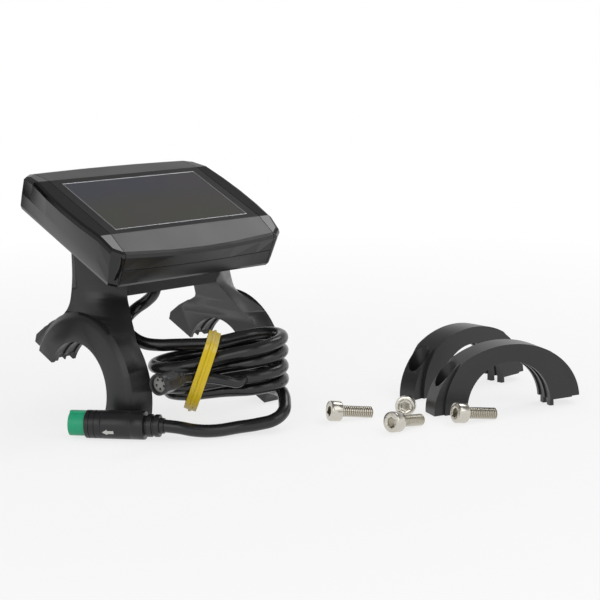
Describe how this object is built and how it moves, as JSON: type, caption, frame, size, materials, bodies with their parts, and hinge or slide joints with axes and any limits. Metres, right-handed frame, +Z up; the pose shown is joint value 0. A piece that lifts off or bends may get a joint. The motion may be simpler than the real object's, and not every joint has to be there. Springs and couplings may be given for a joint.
{
  "type": "e-bike display",
  "caption": "Handlebar display head with a tilted screen on a splayed two-arm clamp bracket, its clamp caps and screws taken off and its lead tied in a hank.",
  "frame": {"origin": "on the handlebar's axis, midway between the two clamps", "axes": "+X along the handlebar to the rider's right, +Y forwards, away from the rider, +Z up"},
  "size_m": [0.1767, 0.1386, 0.0846],
  "materials": {
    "cover_plastic": "satin black moulded cover",
    "case_plastic": "satin black moulded case",
    "trim_plastic": "gloss black trim",
    "window_glass": "dark screen window, faint sheen",
    "bright_rim": "thin bright rim",
    "seal_rubber": "soft grey-black rubber",
    "panel_glass": "display panel",
    "white_plastic": "white moulding",
    "flex_film": "amber film",
    "board": "green circuit board",
    "chip_plastic": "black chip package",
    "bracket_plastic": "satin black glass-filled nylon",
    "stainless": "bright stainless steel",
    "insert_brass": "knurled brass",
    "lead_rubber": "black glossy lead sheath",
    "plug_plastic": "black overmoulding",
    "green_plastic": "green insert",
    "grey_plastic": "grey insert",
    "pin_brass": "gold flashed pins",
    "tie_plastic": "yellow tie"
  },
  "bodies": {
    "display": {"top_cover": "cover_plastic", "bottom_case": "case_plastic", "left_side_trim": "trim_plastic", "right_side_trim": "trim_plastic", "screen_window": "window_glass", "window_rim": "bright_rim", "window_gasket": "seal_rubber", "display_panel": "panel_glass", "backlight": "white_plastic", "panel_flex": "flex_film", "main_board": "board", "processor": "chip_plastic", "lead_header": "white_plastic", "case_seal": "seal_rubber", "case_screws": "stainless", "lead_gland": "seal_rubber", "bracket": "bracket_plastic", "bracket_screws": "stainless", "thread_inserts": "insert_brass", "main_lead": "lead_rubber", "lead_hank": "lead_rubber", "plug_lead": "lead_rubber", "plug_body": "plug_plastic", "plug_collar": "plug_plastic", "plug_insert": "green_plastic", "plug_pins": "pin_brass", "keypad_lead": "lead_rubber", "socket_body": "plug_plastic", "socket_insert": "grey_plastic", "hank_tie": "tie_plastic"},
    "near_cap": {"near_clamp_cap": "bracket_plastic"},
    "far_cap": {"far_clamp_cap": "bracket_plastic"},
    "screw_one": {"clamp_screw_1": "stainless"},
    "screw_two": {"clamp_screw_2": "stainless"},
    "screw_three": {"clamp_screw_3": "stainless"},
    "screw_four": {"clamp_screw_4": "stainless"}
  },
  "joints": [
    {"name": "near_cap_lift", "type": "slide", "parent": "display", "child": "near_cap", "axis": [0, 0, 1], "range_m": [0, 0.04]},
    {"name": "far_cap_lift", "type": "slide", "parent": "display", "child": "far_cap", "axis": [0, 0, 1], "range_m": [0, 0.04]},
    {"name": "screw_one_lift", "type": "slide", "parent": "display", "child": "screw_one", "axis": [0, 0, 1], "range_m": [0, 0.04]},
    {"name": "screw_two_lift", "type": "slide", "parent": "display", "child": "screw_two", "axis": [0, 0, 1], "range_m": [0, 0.04]},
    {"name": "screw_three_lift", "type": "slide", "parent": "display", "child": "screw_three", "axis": [0, 0, 1], "range_m": [0, 0.04]},
    {"name": "screw_four_lift", "type": "slide", "parent": "display", "child": "screw_four", "axis": [0, 0, 1], "range_m": [0, 0.04]}
  ]
}
